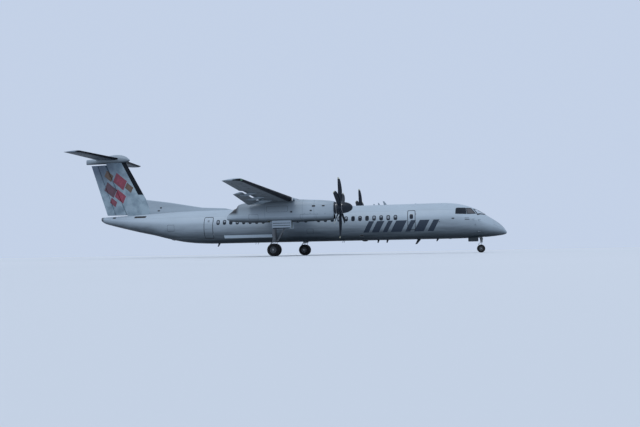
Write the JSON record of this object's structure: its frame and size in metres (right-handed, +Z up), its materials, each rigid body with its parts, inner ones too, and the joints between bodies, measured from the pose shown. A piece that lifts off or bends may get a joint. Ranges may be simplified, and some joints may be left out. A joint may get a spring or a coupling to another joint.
{
  "type": "twin turboprop airliner",
  "caption": "High-wing, T-tailed twin turboprop airliner parked on its wheels, with turning propellers and wheels, steering, moving control surfaces and an airstair door.",
  "frame": {"origin": "on the ground, under the middle of the overall length and on the centre plane", "axes": "+X forward along the fuselage, +Y to port along the span, +Z up"},
  "size_m": [32.83, 28.42, 8.34],
  "materials": {
    "fuselage_paint": "semi-gloss pale ice-blue grey paint",
    "wing_paint": "satin mid grey paint",
    "fin_paint": "semi-gloss pale teal grey paint",
    "gear_paint": "satin light grey enamel",
    "wheel_alloy": "cast and machined alloy",
    "blade_composite": "dark painted composite",
    "engine_metal": "plain metal block",
    "exhaust_metal": "heat-stained metal",
    "cockpit_glass": "dark laminated glass",
    "tyre": "matt rubber"
  },
  "bodies": {
    "airframe": {"radome": "fuselage_paint", "nose_section": "fuselage_paint", "forward_fuselage": "fuselage_paint", "centre_fuselage": "fuselage_paint", "aft_fuselage": "fuselage_paint", "tail_cone": "fuselage_paint", "cockpit_glazing": "cockpit_glass", "wing_centre": "wing_paint", "wing_left": "wing_paint", "wing_right": "wing_paint", "wing_saddle": "fuselage_paint", "flap_inboard_left": "wing_paint", "flap_inboard_right": "wing_paint", "flap_outboard_left": "wing_paint", "flap_outboard_right": "wing_paint", "fin": "fin_paint", "dorsal_fin": "fuselage_paint", "tailplane": "wing_paint", "tail_fairing": "fuselage_paint", "nacelle_left": "fuselage_paint", "nacelle_right": "fuselage_paint", "engine_left": "engine_metal", "engine_right": "engine_metal", "exhaust_left": "exhaust_metal", "exhaust_right": "exhaust_metal", "main_leg_left": "gear_paint", "main_leg_right": "gear_paint", "main_brace_left": "gear_paint", "main_brace_right": "gear_paint", "main_door_outer_left": "fuselage_paint", "main_door_inner_left": "fuselage_paint", "main_door_outer_right": "fuselage_paint", "main_door_inner_right": "fuselage_paint", "nose_leg": "gear_paint", "nose_door_left": "fuselage_paint", "nose_door_right": "fuselage_paint"},
    "propeller_left": {"propeller_left": "blade_composite", "spinner_left": "blade_composite"},
    "propeller_right": {"propeller_right": "blade_composite", "spinner_right": "blade_composite"},
    "main_wheels_left": {"main_wheels_left": "wheel_alloy", "main_tyre_outer_left": "tyre", "main_tyre_inner_left": "tyre"},
    "main_wheels_right": {"main_wheels_right": "wheel_alloy", "main_tyre_outer_right": "tyre", "main_tyre_inner_right": "tyre"},
    "nose_fork": {"nose_fork": "gear_paint"},
    "nose_wheels": {"nose_wheels": "wheel_alloy", "nose_tyre_left": "tyre", "nose_tyre_right": "tyre"},
    "rudder_fore": {"rudder_fore": "fin_paint"},
    "rudder_trailing": {"rudder_trailing": "fin_paint"},
    "elevator_left": {"elevator_left": "wing_paint"},
    "elevator_right": {"elevator_right": "wing_paint"},
    "aileron_left": {"aileron_left": "wing_paint"},
    "aileron_right": {"aileron_right": "wing_paint"},
    "airstair_door": {"airstair_door": "fuselage_paint"}
  },
  "joints": [
    {"name": "propeller_spin_left", "type": "hinge", "parent": "airframe", "child": "propeller_left", "pos_m": [5.355, 4.4, 3.2], "axis": [1, 0, 0], "continuous": true},
    {"name": "propeller_spin_right", "type": "hinge", "parent": "airframe", "child": "propeller_right", "pos_m": [5.355, -4.4, 3.2], "axis": [1, 0, 0], "continuous": true},
    {"name": "main_wheels_spin_left", "type": "hinge", "parent": "airframe", "child": "main_wheels_left", "pos_m": [0.715, 4.4, 0.43282], "axis": [0, 1, 0], "continuous": true},
    {"name": "main_wheels_spin_right", "type": "hinge", "parent": "airframe", "child": "main_wheels_right", "pos_m": [0.715, -4.4, 0.43282], "axis": [0, 1, 0], "continuous": true},
    {"name": "nose_steering", "type": "hinge", "parent": "airframe", "child": "nose_fork", "pos_m": [14.665, 0, 0.8], "axis": [0, 0, 1], "range_deg": [-60, 60]},
    {"name": "nose_wheels_spin", "type": "hinge", "parent": "nose_fork", "child": "nose_wheels", "pos_m": [14.625, 0, 0.28094], "axis": [0, 1, 0], "continuous": true},
    {"name": "rudder_fore_hinge", "type": "hinge", "parent": "airframe", "child": "rudder_fore", "pos_m": [-12.88805, 0, 3.44], "axis": [-0.4106, 0, 0.9118], "range_deg": [-18, 18]},
    {"name": "rudder_trailing_hinge", "type": "hinge", "parent": "rudder_fore", "child": "rudder_trailing", "pos_m": [-13.82369, 0, 3.44], "axis": [-0.3696, 0, 0.9292], "range_deg": [-18, 18]},
    {"name": "elevator_hinge_left", "type": "hinge", "parent": "airframe", "child": "elevator_left", "pos_m": [-14.835, 2.4, 8], "axis": [0, 1, 0], "range_deg": [-18, 20]},
    {"name": "elevator_hinge_right", "type": "hinge", "parent": "airframe", "child": "elevator_right", "pos_m": [-14.835, -2.4, 8], "axis": [0, 1, 0], "range_deg": [-18, 20]},
    {"name": "aileron_hinge_left", "type": "hinge", "parent": "airframe", "child": "aileron_left", "pos_m": [0.61209, 10.01, 4.07501], "axis": [0.0688, 0.9968, 0.041], "range_deg": [-17, 17]},
    {"name": "aileron_hinge_right", "type": "hinge", "parent": "airframe", "child": "aileron_right", "pos_m": [0.61209, -10.01, 4.07501], "axis": [-0.0688, 0.9968, -0.041], "range_deg": [-17, 17]},
    {"name": "airstair_hinge", "type": "hinge", "parent": "airframe", "child": "airstair_door", "pos_m": [11.01, 1.1, 1.48], "axis": [-1, 0, 0], "range_deg": [0, 132]}
  ],
  "couplings": [
    {"joint": "rudder_trailing_hinge", "follows": "rudder_fore_hinge", "ratio": 1},
    {"joint": "elevator_hinge_right", "follows": "elevator_hinge_left", "ratio": 1},
    {"joint": "aileron_hinge_right", "follows": "aileron_hinge_left", "ratio": -1}
  ]
}
